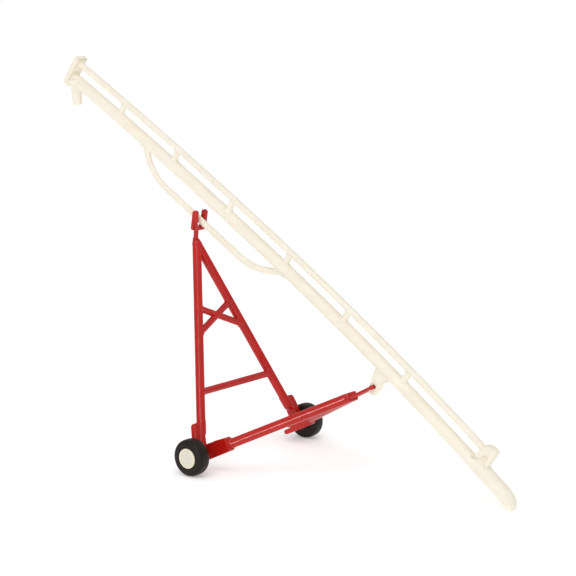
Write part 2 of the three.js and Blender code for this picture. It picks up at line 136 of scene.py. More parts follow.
LOWER_RISE = np.arctan2(PIVOT[2] - AXLE[2], PIVOT[0] - AXLE[0])
LOWER_REACH = np.hypot(PIVOT[2] - AXLE[2], PIVOT[0] - AXLE[0])
LEG_LEAN = np.arctan2(AXLE[0] - APEX[0], APEX[2] - AXLE[2])
LEG_RISE = np.hypot(AXLE[0] - APEX[0], APEX[2] - AXLE[2])

AUGER = Place(TUBE_TOP, TUBE_SLOPE)
UPPER = Place(AXLE, -LEG_LEAN)
LOWER = Place(AXLE, -LOWER_RISE)
FORK = Place(FORK_AT, FORK_TILT)


# ---------------------------------------------------------------- the tube's bowed axis
def tube_axis(x, offset=0.0):
    """Points beside the bowed axis, in the auger's frame.

    The axis is a quadratic Bezier curve over the chord. The share t is solved from the place x on
    the chord, the height is 2 t (1 - t) times the bow, and offset is measured along the normal."""
    x = np.asarray(x, float)
    a = TUBE_CHORD - 2 * TUBE_BOW_AT
    t = (-TUBE_BOW_AT + np.sqrt(TUBE_BOW_AT**2 + a * x)) / a
    slope = (1 - 2 * t) * TUBE_BOW / ((1 - 2 * t) * TUBE_BOW_AT + t * TUBE_CHORD)
    n = np.stack([-slope, 0 * x, 1 + 0 * x], -1) / np.hypot(slope, 1)[..., None]
    base = np.stack([x, 0 * x, 2 * t * (1 - t) * TUBE_BOW], -1)
    return base + np.asarray(offset)[..., None] * n


def axis_gap(points, radius):
    """Distance of auger-frame points from the skin of a round tube on the bowed axis."""
    off = points - tube_axis(points[..., 0])
    return np.hypot(off[..., 1], off[..., 2]) - radius


def line_gap(points, a, b, radius):
    """Distance of points from the skin of a straight round bar from a to b."""
    a, b = np.asarray(a, float), np.asarray(b, float)
    d = (b - a) / np.linalg.norm(b - a)
    off = points - a
    off = off - (off @ d)[..., None] * d
    return np.linalg.norm(off, axis=-1) - radius


def fillet(gap, size):
    """How far a moulded fillet stands out at a gap from its neighbour.

    A concave quarter circle: size less the root of size squared less (size - gap) squared."""
    g = np.clip(gap, 0, size)
    return size - np.sqrt(np.maximum(size**2 - (size - g) ** 2, 0))


# ---------------------------------------------------------------- meshes from whole arrays
def skin(name, rows, closed_run=False, ends="pole"):
    """A mesh from a grid of points (rows, points round, 3) that is closed round each row.

    The run of rows closes on itself, or its two ends are closed by a pole or by one face each."""
    rows = np.asarray(rows, float) * MM
    m, n = rows.shape[:2]
    i = np.arange(m if closed_run else m - 1)[:, None]
    j = np.arange(n)[None, :]
    a, b = i * n + j, i * n + (j + 1) % n
    c, d = ((i + 1) % m) * n + (j + 1) % n, ((i + 1) % m) * n + j
    faces = np.stack([a, b, c, d], -1).reshape(-1, 4).tolist()
    points = rows.reshape(-1, 3)
    if not closed_run and ends == "pole":
        points = np.vstack([points, rows[0].mean(0), rows[-1].mean(0)])
        ring = np.arange(n)
        nxt = (ring + 1) % n
        last = (m - 1) * n
        faces += np.stack([nxt, ring, np.full(n, m * n)], -1).tolist()
        faces += np.stack([last + ring, last + nxt, np.full(n, m * n + 1)], -1).tolist()
    elif not closed_run:
        faces.append(list(range(n))[::-1])
        faces.append(list(range((m - 1) * n, m * n)))
    mesh = bpy.data.meshes.new(name)
    mesh.from_pydata(points.tolist(), [], faces)
    if signed_volume(mesh) < 0:
        mesh.flip_normals()
    mesh.validate()
    mesh.shade_smooth()
    mesh.set_sharp_from_angle(angle=SMOOTH_ANGLE)
    piece = bpy.data.objects.new(name, mesh)
    bpy.context.scene.collection.objects.link(piece)
    return piece


def signed_volume(mesh):
    """Six times the volume inside a closed mesh: the sum of its triangles' triple products."""
    mesh.calc_loop_triangles()
    co = np.empty(len(mesh.vertices) * 3)
    mesh.vertices.foreach_get("co", co)
    tri = np.empty(len(mesh.loop_triangles) * 3, np.int32)
    mesh.loop_triangles.foreach_get("vertices", tri)
    a, b, c = co.reshape(-1, 3)[tri].reshape(-1, 3, 3).transpose(1, 0, 2)
    return float(np.einsum("ij,ij->i", a, np.cross(b, c)).sum())


def frames_along(path):
    """Unit side and up vectors for each point of a path that lies in the X-Z plane."""
    d = np.gradient(path, axis=0)
    d /= np.linalg.norm(d, axis=1)[:, None]
    side = np.broadcast_to([0.0, 1.0, 0.0], d.shape)
    return side, np.cross(d, side)


def tube_rows(path, across, deep, around=64, power=2.0):
    """Rows of a section carried along a path: superellipse of half widths across and deep."""
    side, up = frames_along(path)
    q = np.arange(around) / around * TAU
    x = np.sign(np.cos(q)) * np.abs(np.cos(q)) ** (2 / power)
    z = np.sign(np.sin(q)) * np.abs(np.sin(q)) ** (2 / power)
    across, deep = (np.broadcast_to(v, len(path))[:, None, None] for v in (across, deep))
    return (path[:, None] + across * x[None, :, None] * side[:, None]
            + deep * z[None, :, None] * up[:, None])


def bar_rows(a, b, radius, round_ends=(0, 0), along=80, around=48):
    """Rows of a straight round bar whose ends are rounded by a quarter ellipse of given depth."""
    a, b = np.asarray(a, float), np.asarray(b, float)
    length = np.linalg.norm(b - a)
    d = (b - a) / length
    side = np.cross(d, [0.0, 0.0, 1.0]) if abs(d[2]) < 0.9 else np.cross(d, [0.0, 1.0, 0.0])
    side /= np.linalg.norm(side)
    up = np.cross(d, side)
    s = np.linspace(0, length, along)
    r = np.full(along, float(radius))
    for depth, away in ((round_ends[0], s), (round_ends[1], length - s)):
        if depth:
            near = np.clip(1 - away / depth, 0, 1)
            r *= np.sqrt(np.maximum(1 - near**2, 0.0004))
    q = np.arange(around) / around * TAU
    ring = np.cos(q)[:, None] * side + np.sin(q)[:, None] * up
    return a + s[:, None, None] * d + r[:, None, None] * ring[None]


def stand_out(rows, amount):
    """Moves each point away from the middle of its own row by amount."""
    middle = rows.mean(1, keepdims=True)
    arm = rows - middle
    reach = np.maximum(np.linalg.norm(arm, axis=-1, keepdims=True), 1e-6)
    return rows + arm / reach * amount[..., None]


def rounded(corners, cut, steps=6):
    """A closed outline whose corners are eased by a quadratic Bezier over the distance cut."""
    p = np.asarray(corners, float)
    cut = np.broadcast_to(cut, len(p)).astype(float)
    to_prev, to_next = np.roll(p, 1, 0) - p, np.roll(p, -1, 0) - p
    lp, ln = np.linalg.norm(to_prev, axis=1), np.linalg.norm(to_next, axis=1)
    c = np.minimum(cut, 0.49 * np.minimum(lp, ln))
    start = p + to_prev / lp[:, None] * c[:, None]
    end = p + to_next / ln[:, None] * c[:, None]
    t = np.linspace(0, 1, steps)[None, :, None]
    out = (1 - t) ** 2 * start[:, None] + 2 * t * (1 - t) * p[:, None] + t**2 * end[:, None]
    return out.reshape(-1, 2)


def outline_normals(outline):
    """Unit normals of a closed outline, pointing out of it."""
    d = np.roll(outline, -1, 0) - np.roll(outline, 1, 0)
    n = np.stack([d[:, 1], -d[:, 0]], -1)
    n /= np.maximum(np.linalg.norm(n, axis=1), 1e-9)[:, None]
    x, y = outline.T
    area = (x * np.roll(y, -1) - y * np.roll(x, -1)).sum()
    return n if area > 0 else -n


def slab_rows(outline, half, edge, middle=0.0, hole=None, steps=5):
    """Rows of a plate: the outline carried round the plate's edge, from face to face.

    The edge is a quarter circle at each face. hole = (centre, radius) goes right through and closes
    the run of rows on itself; a third value is a depth, and makes a blind hollow in each face."""
    n = outline_normals(outline)
    q = np.linspace(0, np.pi / 2, steps)
    inset = np.concatenate([[edge * 1.4], edge * (1 - np.sin(q))])
    level = np.concatenate([[half], half - edge * (1 - np.cos(q))])
    inset, level = np.append(inset, inset[::-1]), np.append(level, -level[::-1])
    rows = [np.column_stack([outline - n * i, np.full(len(n), middle + w)])
            for i, w in zip(inset, level)]
    if hole:
        centre, radius, depth = (*hole, None)[:3]
        arm = outline - centre
        ring = arm / np.linalg.norm(arm, axis=1)[:, None]

        def lip(scale, w):
            return np.column_stack([centre + ring * radius * scale, np.full(len(n), middle + w)])
        if depth is None:
            rows = ([lip(1.0, 0), lip(1.0, half - 0.2), lip(1.15, half)] + rows
                    + [lip(1.15, -half), lip(1.0, 0.2 - half)])
        else:
            front = [lip(0.7, half - depth), lip(0.88, half - depth * 0.8),
                     lip(1.0, half - depth * 0.3), lip(1.1, half)]
            back = [row * [1, 1, -1] + [0, 0, 2 * middle] for row in front[::-1]]
            rows = front + rows + back
    return np.array(rows)


def plate(place, plane, outline, half, edge, middle=0.0, hole=None):
    """A plate's rows in the object's frame. plane "xz" lays the outline along and up, with its
    thickness across; "yz" lays it across and up, with its thickness along."""
    rows = slab_rows(outline, half, edge, middle, hole)
    order = [0, 2, 1] if plane == "xz" else [2, 0, 1]
    return place.out(rows[..., order])


def turned_rows(profile, around=96):
    """A profile of (radius, height) points turned about the height axis."""
    p = np.asarray(profile, float)
    q = np.arange(around) / around * TAU
    return np.stack([p[:, :1] * np.cos(q), p[:, :1] * np.sin(q),
                     np.repeat(p[:, 1:], around, 1)], -1)


def quarter(cx, cy, rx, ry, start, stop, steps=10):
    """Points of an elliptic arc about (cx, cy)."""
    q = np.linspace(start, stop, steps)
    return np.column_stack([cx + rx * np.cos(q), cy + ry * np.sin(q)])


# ---------------------------------------------------------------- materials
class Wire:
    """A shader socket that can be used in a Python expression."""

    def __init__(self, book, socket):
        self.book, self.socket = book, socket

    def _maths(self, kind, *values):
        return self.book.node("ShaderNodeMath", {"operation": kind}, dict(enumerate(values)))

    def __add__(self, other):
        return self._maths("ADD", self, other)

    def __mul__(self, other):
        return self._maths("MULTIPLY", self, other)

    __radd__, __rmul__ = __add__, __mul__


class Book:
    """The nodes of one material."""

    def __init__(self, name):
        self.material = bpy.data.materials.new(name)
        self.material.use_nodes = True
        self.tree = self.material.node_tree
        self.tree.nodes.clear()

    def node(self, kind, settings=None, sockets=None, out=0):
        """Adds a node, sets its settings, sets or links its sockets, and returns one output."""
        n = self.tree.nodes.new(kind)
        for key, value in (settings or {}).items():
            if key == "stops":
                ramp = n.color_ramp.elements
                while len(ramp) < len(value):
                    ramp.new(0.5)
                for stop, (at, colour) in zip(ramp, value):
                    stop.position = at
                    stop.color = (*colour, 1) if isinstance(colour, tuple) else (colour,) * 3 + (1,)
            else:
                setattr(n, key, value)
        for key, value in (sockets or {}).items():
            if isinstance(value, Wire):
                self.tree.links.new(value.socket, n.inputs[key])
            else:
                n.inputs[key].default_value = value
        return Wire(self, n.outputs[out])

    def place(self):
        """Object coordinates in metres."""
        return self.node("ShaderNodeTexCoord", out="Object")

    def noise(self, per_mm, detail=3.0, rough=0.5, stretch=(1, 1, 1)):
        """Noise whose grains are about 1 / per_mm millimetres, stretched along the given axes."""
        at = self.node("ShaderNodeMapping", None, {"Vector": self.place(), "Scale": stretch})
        return self.node("ShaderNodeTexNoise", None, {
            "Vector": at, "Scale": per_mm / MM, "Detail": detail, "Roughness": rough})

    def radius(self, centre):
        """Distance in metres from the line through the centre across the object."""
        at = self.node("ShaderNodeVectorMath", {"operation": "SUBTRACT"},
                       {0: self.place(), 1: tuple(centre * MM)})
        at = self.node("ShaderNodeVectorMath", {"operation": "MULTIPLY"}, {0: at, 1: (1, 0, 1)})
        return self.node("ShaderNodeVectorMath", {"operation": "LENGTH"}, {0: at}, out="Value")

    def ramp(self, value, *stops):
        """A value passed through stops, each a place and a level or colour."""
        return self.node("ShaderNodeValToRGB", {"stops": stops}, {0: value})

    def mix(self, factor, a, b):
        """Colour a where factor is 0 and colour b where it is 1."""
        sockets = {0: factor, 6: a if isinstance(a, Wire) else (*a, 1),
                   7: b if isinstance(b, Wire) else (*b, 1)}
        return self.node("ShaderNodeMix", {"data_type": "RGBA"}, sockets, out=2)

    def bump(self, height, strength, distance_mm, under=None):
        """A bump whose full height is distance_mm, laid over another bump if one is given."""
        sockets = {"Height": height, "Strength": strength, "Distance": distance_mm * MM}
        if under:
            sockets["Normal"] = under
        return self.node("ShaderNodeBump", None, sockets)

    def shade(self, **sockets):
        """The finished surface, from names such as Base_Color."""
        named = {k.replace("_", " "): v for k, v in sockets.items()}
        surface = self.node("ShaderNodeBsdfPrincipled", None, named)
        end = self.tree.nodes.new("ShaderNodeOutputMaterial")
        self.tree.links.new(surface.socket, end.inputs["Surface"])
        return self.material


def ivory_plastic(look):
    """Moulded ivory plastic: cloudy colour, faint flow marks, a fine skin and handling smudges."""
    book = Book("ivory plastic")
    clouds = book.ramp(book.noise(0.05, 4), (0.35, 0.0), (0.65, 1.0))
    flow = book.ramp(book.noise(0.35, 3, stretch=(0.25, 1, 0.5)), (0.4, 0.0), (0.62, 1.0))
    tone = book.mix(clouds * 0.55, tuple(look.ivory_cool), tuple(look.ivory_warm))
    tone = book.mix(flow * 0.18, tone, tuple(look.ivory_shade))
    grime = book.ramp(book.noise(0.16, 6, 0.65), (0.56, 0.0), (0.74, 1.0))
    tone = book.mix(grime * 0.22, tone, tuple(look.ivory_shade))
    rough = book.noise(0.6, 4) * 0.14 + grime * 0.12 + look.ivory_roughness
    skin_bump = book.bump(book.noise(2.6, 2), 0.10, 0.05)
    waves = book.bump(book.noise(0.22, 2), 0.16, 0.25, skin_bump)
    return book.shade(Base_Color=tone, Roughness=rough, Normal=waves, Subsurface_Weight=0.12,
                      Subsurface_Radius=(0.9, 0.75, 0.5), Subsurface_Scale=0.0008,
                      Specular_IOR_Level=0.25)


def red_plastic(look):
    """Glossy red plastic: deeper clouds, pale hairline scuffs, sink waves and finger marks."""
    book = Book("red plastic")
    clouds = book.ramp(book.noise(0.11, 4), (0.3, 0.0), (0.7, 1.0))
    tone = book.mix(clouds, tuple(look.red_deep), tuple(look.red_bright))
    scuff = book.ramp(book.noise(0.9, 5, 0.7, stretch=(1, 1, 0.22)), (0.64, 0.0), (0.72, 1.0))
    tone = book.mix(scuff * 0.12, tone, tuple(look.red_scuff))
    marks = book.ramp(book.noise(0.3, 3), (0.42, 0.0), (0.7, 1.0))
    rough = marks * 0.1 + scuff * 0.15 + look.red_roughness
    skin_bump = book.bump(book.noise(1.7, 3), 0.05, 0.04)
    waves = book.bump(book.noise(0.26, 2), 0.08, 0.2, skin_bump)
    return book.shade(Base_Color=tone, Roughness=rough, Normal=waves, Specular_IOR_Level=0.35)


def tyre_plastic(look):
    """Soft near-black plastic: brown cast, dusty bloom in patches and a matt fine grain."""
    book = Book("tyre plastic")
    clouds = book.ramp(book.noise(0.25, 4), (0.35, 0.0), (0.7, 1.0))
    tone = book.mix(clouds, tuple(look.tyre_dark), tuple(look.tyre_brown))
    dust = book.ramp(book.noise(0.8, 6, 0.7), (0.55, 0.0), (0.75, 1.0))
    tone = book.mix(dust * 0.35, tone, tuple(look.tyre_dust))
    rough = dust * 0.2 + look.tyre_roughness
    grain = book.bump(book.noise(3.2, 3), 0.3, 0.06)
    waves = book.bump(book.noise(0.5, 2), 0.15, 0.2, grain)
    return book.shade(Base_Color=tone, Roughness=rough, Normal=waves, Specular_IOR_Level=0.18)


def hub_plastic(look):
    """Hub plastic: a warm cream rim round a greyer, smudged face."""
    book = Book("hub plastic")
    smudge = book.ramp(book.noise(0.42, 5, 0.6), (0.5, 0.0), (0.7, 1.0))
    tone = book.mix(smudge * 0.8, tuple(look.hub_pale), tuple(look.hub_grey))
    rim = book.ramp(book.radius(AXLE) * (1 / (HUB_RADIUS * MM)), (0.68, 0.0), (0.82, 1.0))
    tone = book.mix(rim, tone, tuple(look.hub_cream))
    rough = smudge * 0.2 + 0.34
    grain = book.bump(book.noise(1.9, 3), 0.14, 0.06)
    return book.shade(Base_Color=tone, Roughness=rough, Normal=grain, Subsurface_Weight=0.08,
                      Subsurface_Radius=(0.8, 0.7, 0.5), Subsurface_Scale=0.0006,
                      Specular_IOR_Level=0.25)


MATERIALS = {"ivory_plastic": ivory_plastic, "red_plastic": red_plastic,
             "tyre": tyre_plastic, "hub_plastic": hub_plastic}
FINISHES = {}


def finish_piece(piece, slot, body, *nodes):
    """Gives a piece its material and its body, and hides the CAD nodes that it stands for."""
    if slot not in FINISHES:
        FINISHES[slot] = MATERIALS[slot](bpy.context.scene.auger_finish)
    piece.data.materials.append(FINISHES[slot])
    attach(piece, body)
    if nodes:
        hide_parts(*nodes)
    return piece


# ---------------------------------------------------------------- sizes and colours to change
def mm(name, description, default):
    """A length that a user may change, in millimetres."""
    return bpy.props.FloatProperty(name=name, description=description, default=default, min=0.05,
                                   max=60.0)


def colour(name, description, default):
    """A colour that a user may change."""
    return bpy.props.FloatVectorProperty(name=name, description=description, default=default,
                                         size=3, subtype="COLOR", min=0.0, max=1.0)


class AugerFinish(bpy.types.PropertyGroup):
    """Colours and gloss of the four plastics."""
    ivory_warm: colour("Warm ivory", "Main ivory colour", (0.93, 0.86, 0.71))
    ivory_cool: colour("Cool ivory", "Paler ivory in the clouds", (0.92, 0.87, 0.75))
    ivory_shade: colour("Ivory shade", "Flow marks and grime", (0.76, 0.67, 0.54))
    ivory_roughness: bpy.props.FloatProperty(name="Ivory roughness", description="Lowest roughness",
                                             default=0.3, min=0.0, max=1.0, subtype="FACTOR")
    red_bright: colour("Bright red", "Main red", (0.52, 0.013, 0.008))
    red_deep: colour("Deep red", "Darker red in the clouds", (0.44, 0.009, 0.006))
    red_scuff: colour("Scuffed red", "Pale scratches", (0.60, 0.07, 0.05))
    red_roughness: bpy.props.FloatProperty(name="Red roughness", description="Lowest roughness",
                                           default=0.14, min=0.0, max=1.0, subtype="FACTOR")
    tyre_dark: colour("Tyre", "Main tyre colour", (0.010, 0.0075, 0.0055))
    tyre_brown: colour("Tyre brown", "Brown cast", (0.017, 0.012, 0.0085))
    tyre_dust: colour("Tyre dust", "Dusty bloom", (0.04, 0.033, 0.025))
    tyre_roughness: bpy.props.FloatProperty(name="Tyre roughness", description="Lowest roughness",
                                            default=0.42, min=0.0, max=1.0, subtype="FACTOR")
    hub_cream: colour("Hub cream", "Rim of the hub", (0.86, 0.79, 0.65))
    hub_pale: colour("Hub face", "Greyer middle of the hub", (0.76, 0.73, 0.64))
    hub_grey: colour("Hub smudge", "Rubbed grey", (0.56, 0.54, 0.46))


class AugerSizes(bpy.types.PropertyGroup):
    """Sizes of the moulded skins, in millimetres."""
    tube_radius: mm("Tube radius", "Radius of the long tube", 2.4)
    foot_depth: mm("Foot depth", "Half depth of the intake foot", 2.9)
    rod_radius: mm("Rod radius", "Radius of the rod above the tube", 1.3)
    post_radius: mm("Post radius", "Radius of the rod's posts", 1.28)
    seam: mm("Parting line", "Width of the raised parting line", 0.34)
    fillet: mm("Fillet", "Size of the moulded fillets", 0.8)
    leg_radius: mm("Leg radius", "Radius of the upper frame's legs", 1.75)
    bar_radius: mm("Bar radius", "Radius of the lower frame's bars", 1.85)
    tyre_radius: mm("Tyre radius", "Outer radius of a tyre", 7.0)
    hub_radius: mm("Hub radius", "Radius of a wheel's hub", HUB_RADIUS)


# ---------------------------------------------------------------- ivory auger
class AUGER_OT_tube(bpy.types.Operator):
    """Long bowed tube that runs into the thicker, blunt intake foot"""
    bl_idname = "auger.tube"
    bl_label = "Tube and intake foot"

    def execute(self, context):
        size = context.scene.auger_sizes
        start, stop = -2.2, 253.45
        bell_from, grow_from, grow_to, tip_from = 228, 229.5, 238.0, 246
        lift, end_slope, ridge_height = 0.5, 0.05, 0.05
        turn = np.linspace(0, np.pi / 2, 40)[1:]
        x = np.concatenate([np.linspace(start, bell_from, 260),
                            np.linspace(bell_from, tip_from, 60)[1:],
                            stop - (stop - tip_from) * (1 - np.sin(turn))])
        # The tube grows into the foot along the smooth step 3 u^2 - 2 u^3.
        grown = np.clip((x - grow_from) / (grow_to - grow_from), 0, 1)
        grown = grown * grown * (3 - 2 * grown)
        r = size.tube_radius + (size.foot_depth - size.tube_radius) * grown
        over = tube_axis(np.minimum(x, TUBE_CHORD))[:, 2]
        over = over + (x > TUBE_CHORD) * (TUBE_CHORD - x) * end_slope
        top = over + r + lift * grown
        low = over - r + lift * grown
        # The end is blunt: the top falls over a long curve, the bottom turns up over a short one.
        for edge, reach, turned in ((top, 7.6, -3.9), (low, 2.6, 2.3)):
            near = np.clip((x - (stop - reach)) / reach, 0, 1)
            edge += turned * (1 - np.sqrt(np.maximum(1 - near**2.2, 0)))
        nose = 4.4
        near = np.clip((x - (stop - nose)) / nose, 0, 1)
        wide = r * np.sqrt(np.maximum(1 - near**2.4, 0.0009))
        mid, deep = (top + low) / 2, np.maximum((top - low) / 2, 0.05)
        around = 96
        q = np.arange(around) / around * TAU
        ridge = np.exp(-((np.cos(q) * size.tube_radius / (size.seam / 2)) ** 2)) * ridge_height
        rows = np.stack([np.repeat(x[:, None], around, 1), wide[:, None] * np.cos(q),
                         mid[:, None] + (deep[:, None] + ridge) * np.sin(q)], -1)
        finish_piece(skin("tube_moulding", AUGER.out(rows)), "ivory_plastic", "auger",
                     "auger_tube", "intake_foot")
        return {"FINISHED"}


class AUGER_OT_head(bpy.types.Operator):
    """Head plate across the tube's upper end, and the spout that hangs plumb behind it"""
    bl_idname = "auger.head"
    bl_label = "Head plate and spout"

    def execute(self, context):
        size = context.scene.auger_sizes
        half, low, high = 3.1, -4.3, 9.55
        outline = rounded([(-half, high), (-half, low), (half, low), (half, high)],
                          [0.5, 3.0, 3.0, 0.5], 10)
        finish_piece(skin("head_plate_moulding", plate(AUGER, "yz", outline, 1.05, 0.45, -1.45),
                          ends="face"), "ivory_plastic", "auger", "head_plate")
        lo, hi = node_box("discharge_spout")
        at = (lo + hi) / 2
        r = (hi[0] - lo[0]) / 2 - 0.25
        mouth = lo[2]
        # The first rows are the blind hollow in the mouth, the next its rim, then the outer side.
        inside = 9
        profile = np.vstack([
            [(0.02, mouth + 4.4), (0.6, mouth + 4.3), (0.78, mouth + 4.0), (0.8, mouth + 0.6)],
            quarter(0.98, mouth + 0.25, 0.18, 0.25, np.pi, 1.5 * np.pi, 5),
            quarter(r - 0.75, mouth + 1.05, 0.75, 1.05, -np.pi / 2, 0, 8),
            np.column_stack([np.full(40, r), np.linspace(mouth + 1.3, mouth + 10.45, 40)]),
        ])
        rows = turned_rows(profile)
        # Its upper side leans back a little and widens, up to where it meets the tube.
        up = np.clip((rows[..., 2] - mouth) / 7, 0, 1)
        rows[..., :2] *= 1 + 0.2 * up[..., None]
        rows[..., 0] += at[0] + 0.1 - 0.5 * up
        gap = axis_gap(AUGER.into(rows), size.tube_radius)
        inner = np.arange(len(profile)) < inside
        out = np.where(inner[:, None], 0, fillet(gap, 1.1))
        finish_piece(skin("spout_moulding", stand_out(rows, out)), "ivory_plastic", "auger",
                     "discharge_spout")
        return {"FINISHED"}


class AUGER_OT_rod(bpy.types.Operator):
    """Drive rod above the tube, and its row of filleted posts"""
    bl_idname = "auger.rod"
    bl_label = "Rod and posts"

    def execute(self, context):
        size = context.scene.auger_sizes
        path = tube_axis(np.linspace(-1.2, 233.5, 260), ROD_OFFSET)
        rows = tube_rows(path, size.rod_radius, size.rod_radius, 48)
        finish_piece(skin("rod_moulding", AUGER.out(rows)), "ivory_plastic", "auger", "drive_rod")
        for k in range(POST_COUNT):
            x = POST_FIRST + k * POST_PITCH
            foot, head = tube_axis(x, 1.6), tube_axis(x, ROD_OFFSET - 0.5)
            rows = bar_rows(foot, head, size.post_radius, along=44, around=40)
            to_tube = axis_gap(rows, size.tube_radius)
            off = rows - tube_axis(rows[..., 0], ROD_OFFSET)
            to_rod = np.hypot(off[..., 1], off[..., 2]) - size.rod_radius
            rows = stand_out(rows, fillet(to_tube, 0.6) + fillet(to_rod, 0.35))
            finish_piece(skin(f"post_moulding_{k + 1}", AUGER.out(rows)), "ivory_plastic", "auger",
                         f"rod_post_{k + 1}")
        return {"FINISHED"}


class AUGER_OT_box(bpy.types.Operator):
    """Drive box at the rod's lower end, with a round hollow sunk in each side"""
    bl_idname = "auger.box"
    bl_label = "Lower drive box"

    def execute(self, context):
        outline = rounded(
            [(228.9, 2.6), (231.0, 4.4), (231.1, 9.0), (232.5, 11.0), (234.4, 11.65),
             (237.2, 11.65), (237.2, 2.6), (233.0, 2.0)],
            [0.6, 1.4, 1.2, 1.2, 0.9, 1.5, 0.1, 0.4])
        middle, radius, depth = np.array([234.9, 6.5]), 1.5, 0.95
        rows = plate(AUGER, "xz", outline, 1.65, 0.6, hole=(middle, radius, depth))
        finish_piece(skin("drive_box_moulding", rows), "ivory_plastic", "auger", "lower_drive_box")
        return {"FINISHED"}


class AUGER_OT_rail(bpy.types.Operator):
    """Rail under the tube: leaves it, runs parallel to it and comes back"""
    bl_idname = "auger.rail"
    bl_label = "Fork rail"

    def execute(self, context):
        size = context.scene.auger_sizes
        corner = np.array([tube_axis(44.5), tube_axis(55.0, -RAIL_OFFSET),
                           tube_axis(116.0, -RAIL_OFFSET), tube_axis(130.5)])
        bend = 8.5
        unit = np.diff(corner, axis=0)
        unit /= np.linalg.norm(unit, axis=1)[:, None]
        t = np.linspace(0, 1, 40)[:, None]
        arcs = [(1 - t) ** 2 * (c - a * bend) + 2 * t * (1 - t) * c + t**2 * (c + b * bend)
                for c, a, b in ((corner[1], unit[0], unit[1]), (corner[2], unit[1], unit[2]))]
        link = arcs[0][-1] + (arcs[1][0] - arcs[0][-1]) * np.linspace(0, 1, 60)[1:-1, None]
        first = corner[0] + (arcs[0][0] - corner[0]) * np.linspace(0, 1, 24)[:-1, None]
        last = arcs[1][-1] + (corner[3] - arcs[1][-1]) * np.linspace(0, 1, 24)[1:, None]
        path = np.vstack([first, arcs[0], link, arcs[1], last])
        rows = tube_rows(path, 0.95, 1.3, 48, power=2.6)
        rows = stand_out(rows, fillet(axis_gap(rows, size.tube_radius), 0.9))
        finish_piece(skin("rail_moulding", AUGER.out(rows)), "ivory_plastic", "auger", "fork_rail")
        return {"FINISHED"}


class AUGER_OT_lug(bpy.types.Operator):
    """Pivot lug under the tube, pierced for the lower frame's pin"""
    bl_idname = "auger.lug"
    bl_label = "Pivot lug"

    def execute(self, context):
        size = context.scene.auger_sizes
        pin = AUGER.into(PIVOT)[[0, 2]]
        outline = rounded(
            [(-3.6, 7.6), (-3.4, 5.6), (-3.0, 2.4), (-2.2, 0.4), (-1.2, -3.6), (1.8, -3.3),
             (2.35, 0.0), (2.55, 2.4), (3.1, 4.5), (4.4, 7.6)],
            [0.5, 1.2, 1.2, 1.2, 0.6, 0.6, 1.0, 1.2, 1.2, 0.5]) + pin
        rows = slab_rows(outline, 1.3, 0.35, hole=(pin, PIN_BORE))[..., [0, 2, 1]]
        rows = stand_out(rows, fillet(axis_gap(rows, size.tube_radius), 1.3))
        rows = AUGER.out(rows)
        finish_piece(skin("lug_moulding", rows, closed_run=True), "ivory_plastic", "auger",
                     "pivot_lug")
        return {"FINISHED"}


# ---------------------------------------------------------------- red upper frame
def leg_point(share, side):
    """A point of a leg's centre line, in the upper frame."""
    return np.array([0.0, side * LEG_FOOT_Y * (1 - share), LEG_RISE * share])


SIDES = (("right", -1), ("left", 1))


class AUGER_OT_legs(bpy.types.Operator):
    """The two legs of the upper frame with their foot plates and axle stubs"""
    bl_idname = "auger.legs"
    bl_label = "Legs and foot plates"

    def execute(self, context):
        size = context.scene.auger_sizes
        for name, side in SIDES:
            rows = bar_rows(leg_point(-0.01, side), leg_point(0.985, side), size.leg_radius,
                            (0.9, 0.9), 260)
            # Below the foot plate's top the leg is a little thicker, with a small step.
            rows = stand_out(rows, 0.14 * np.clip((FOOT_TOP + 0.2 - rows[..., 2]) / 0.4, 0, 1))
            # The inner side is flat beside the hook, and turns back to round above it.
            flat = CLIP_Y + 1.95
            low = np.clip((6.9 - rows[..., 2]) / 1.4, 0, 1)
            inner = np.maximum(side * rows[..., 1], flat)
            rows[..., 1] += low * (side * inner - rows[..., 1])
            finish_piece(skin(f"{name}_leg_moulding", UPPER.out(rows)), "red_plastic", "a_frame",
                         f"{name}_leg")
            edge = LEG_FOOT_Y * (1 - FOOT_TOP / LEG_RISE)
            outline = rounded(
                [(edge, FOOT_TOP), (edge + FOOT_REACH, FOOT_TOP), (FOOT_OUTER, 6.0),
                 (FOOT_OUTER, -2.6), (LEG_FOOT_Y, -2.6), (LEG_FOOT_Y, 0.0)],
                [0.2, 1.3, 2.0, 1.4, 0.4, 0.2], 9) * [side, 1]
            rows = plate(UPPER, "yz", outline, 1.1, 0.4)
            finish_piece(skin(f"{name}_foot_moulding", rows, ends="face"), "red_plastic", "a_frame",
                         f"{name}_foot")
            stub = bar_rows([0, side * (CLIP_Y - 2.05), 0], [0, side * (WHEEL_Y + 1), 0],
                            STUB_RADIUS, (0.3, 0), 60, 40)
            finish_piece(skin(f"{name}_stub_moulding", UPPER.out(stub)), "red_plastic", "a_frame",
                         f"{name}_axle_stub")
        return {"FINISHED"}


class AUGER_OT_braces(bpy.types.Operator):
    """Crossbar and crossed brace between the legs, each filleted into them"""
    bl_idname = "auger.braces"
    bl_label = "Crossbar and braces"

    def execute(self, context):
        size = context.scene.auger_sizes
        # Shares of the legs' length at which the braces' ends meet them.
        low, high = 0.557, 0.682
        bars = (("crossbar_moulding", 0.283, 0.283, 1.35, ("crossbar",)),
                ("brace_moulding_a", high, low, 1.3, ("x_brace_long",)),
                ("brace_moulding_b", low, high, 1.3, ("x_brace_half_left", "x_brace_half_right")))
        for name, near, far, radius, nodes in bars:
            rows = bar_rows(leg_point(near, -1), leg_point(far, 1), radius, along=150)
            gap = np.minimum(*(line_gap(rows, leg_point(0, s), leg_point(1, s), size.leg_radius)
                               for s in (-1, 1)))
            rows = stand_out(rows, fillet(gap, 0.55 * size.fillet))
            finish_piece(skin(name, UPPER.out(rows)), "red_plastic", "a_frame", *nodes)
        return {"FINISHED"}


